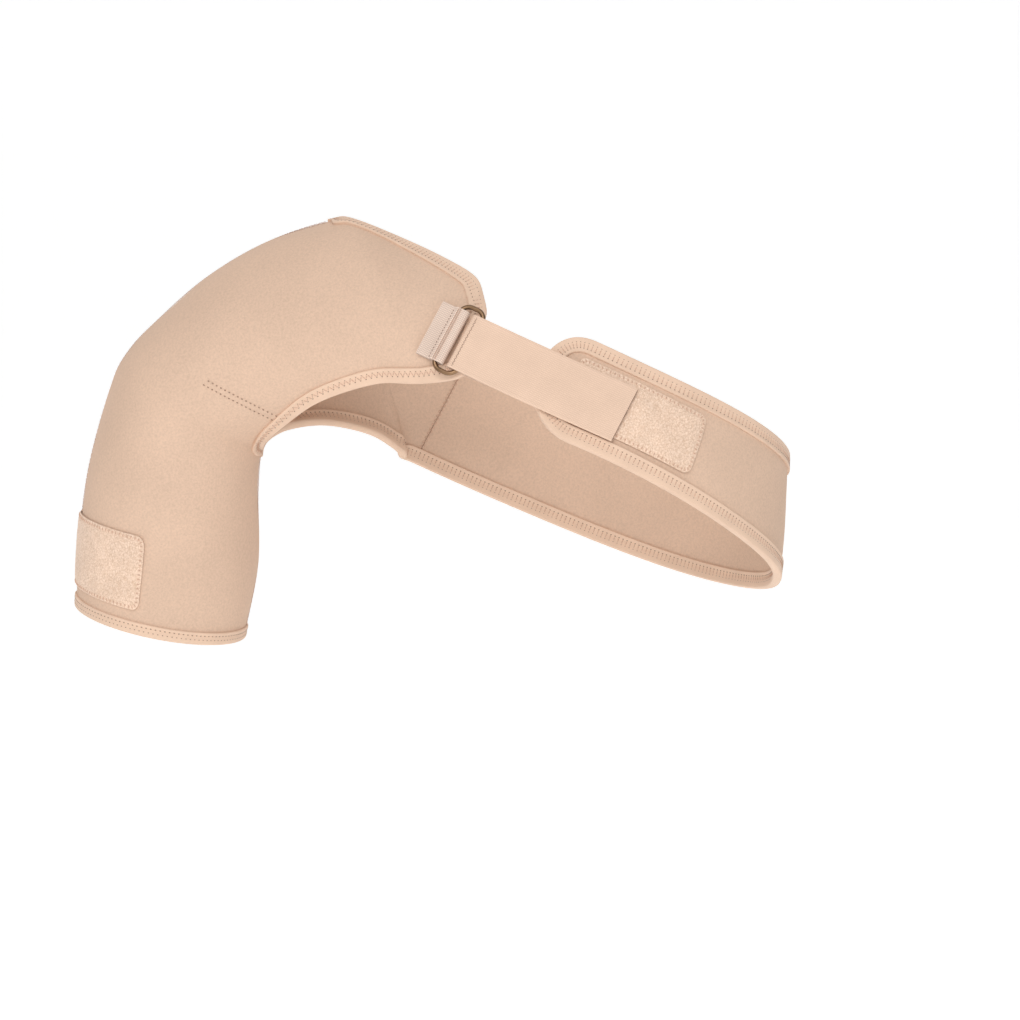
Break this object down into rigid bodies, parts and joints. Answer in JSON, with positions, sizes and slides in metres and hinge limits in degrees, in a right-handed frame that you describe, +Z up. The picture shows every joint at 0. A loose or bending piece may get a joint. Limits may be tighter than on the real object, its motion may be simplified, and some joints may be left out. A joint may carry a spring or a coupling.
{
  "type": "shoulder brace",
  "caption": "Cloth-faced foam shoulder brace with an upper-arm sleeve, a chest band under the other arm, and an elastic strap and wire ring that close it in front.",
  "frame": {"origin": "inside top of the shoulder cap, where the brace sits on the wearer's right shoulder", "axes": "+X from the worn shoulder across the chest to the other side, -Y to the wearer's front, +Z up"},
  "size_m": [0.4147, 0.2229, 0.2447],
  "materials": {
    "foam_cloth": "matte knit cloth on foam",
    "tape": "matte folded stretch tape",
    "loop": "matte loop pile",
    "hook": "matte hook tape",
    "webbing": "matte ribbed webbing",
    "elastic": "smooth knitted elastic",
    "bronze_wire": "satin bronze plating on steel wire"
  },
  "bodies": {
    "root": {"front_panel": "foam_cloth", "back_panel": "foam_cloth", "chest_band": "foam_cloth", "hem_binding": "tape", "front_binding": "tape", "back_binding": "tape", "arm_loop_patch": "loop", "chest_loop_patch": "loop", "ring_tab": "webbing", "elastic_strap": "elastic", "strap_hook_pad": "hook", "ring": "bronze_wire"}
  },
  "joints": []
}
